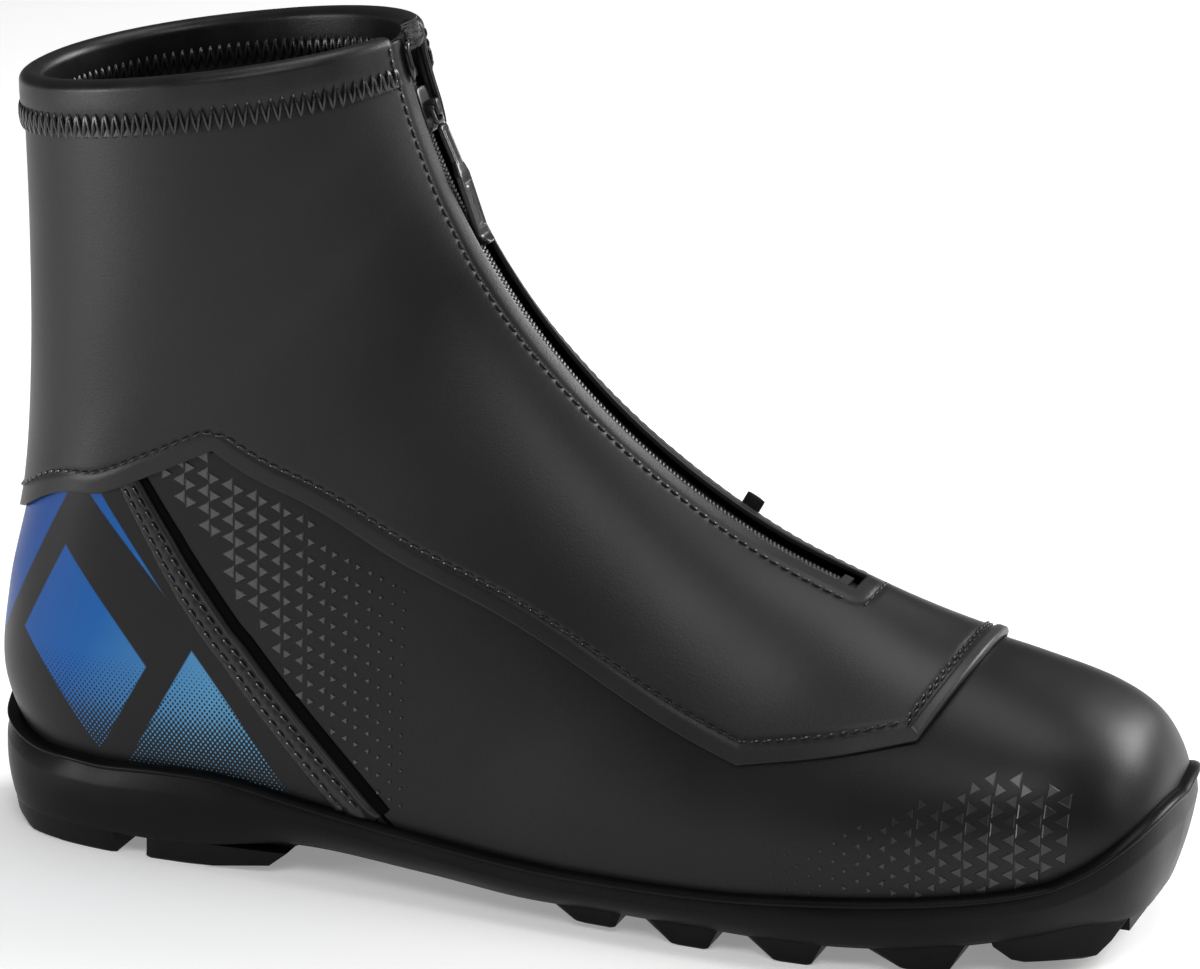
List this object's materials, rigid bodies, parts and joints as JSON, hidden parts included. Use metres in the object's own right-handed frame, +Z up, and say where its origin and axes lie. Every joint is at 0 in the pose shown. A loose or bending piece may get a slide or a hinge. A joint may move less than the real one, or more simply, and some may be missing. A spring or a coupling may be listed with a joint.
{
  "type": "cross country boot",
  "caption": "Classic cross country ski boot: tall soft cover with a front zip over a moulded vamp, on a lugged sole with a toe bar for the binding.",
  "frame": {"origin": "on the ground, at the centre of the bounding box seen from above", "axes": "+X towards the toe, -Y towards the outer side, +Z up"},
  "size_m": [0.3046, 0.098, 0.2098],
  "materials": {
    "midsole": "matt black moulded sole core",
    "rand": "semi-gloss black moulded sidewall",
    "tread": "black rubber",
    "steel": "ground round bar",
    "insert": "moulded saddle",
    "steel_sheet": "flat spring strip",
    "board": "pressed fibre board",
    "footbed": "felt over foam",
    "stiffener": "thermoplastic sheet",
    "lining": "dark fleece",
    "tongue": "padded textile gusset",
    "vamp": "satin black synthetic sheet with moulded triangles",
    "heel_panel": "satin synthetic sheet printed in blue",
    "welt": "folded synthetic strip, stitched twice",
    "cover": "satin black softshell cover",
    "cover_band": "folded edge strip",
    "collar": "folded neoprene band",
    "flap": "black woven backing",
    "tape": "woven grey tape",
    "chain": "moulded teeth",
    "zip_hardware": "black stop",
    "garage": "glossy moulded loop",
    "thread": "dense bar tack",
    "tag": "folded tag",
    "slider": "black slider",
    "bail": "black wire bail",
    "pull": "long flat rubber pull"
  },
  "bodies": {
    "boot": {"outsole_plate": "midsole", "sole_rand": "rand", "heel_tread": "tread", "forefoot_tread": "tread", "toe_block": "tread", "toe_bar": "steel", "bar_insert": "insert", "shank": "steel_sheet", "lasting_board": "board", "footbed": "footbed", "heel_counter": "stiffener", "toe_puff": "stiffener", "lining": "lining", "tongue": "tongue", "vamp": "vamp", "heel_panel": "heel_panel", "seam_welt_lateral": "welt", "seam_welt_medial": "welt", "cover": "cover", "cover_front_band": "cover_band", "collar_band": "collar", "storm_flap": "flap", "zip_tape_lateral": "tape", "zip_tape_medial": "tape", "zip_chain": "chain", "zip_bottom_stop": "zip_hardware", "zip_top_stop": "zip_hardware", "zip_garage": "garage", "bar_tack": "thread", "side_tag": "tag"},
    "slider": {"zip_slider": "slider"},
    "pull": {"pull_bail": "bail", "pull_tab": "pull"}
  },
  "joints": [
    {"name": "zip_slide", "type": "hinge", "parent": "boot", "child": "slider", "pos_m": [0.1235, 0, 0.245], "axis": [0, -1, 0], "range_deg": [0, 48]},
    {"name": "pull_swing", "type": "hinge", "parent": "slider", "child": "pull", "pos_m": [-0.03713, 0, 0.18812], "axis": [0, -1, 0], "range_deg": [0, 130]}
  ]
}
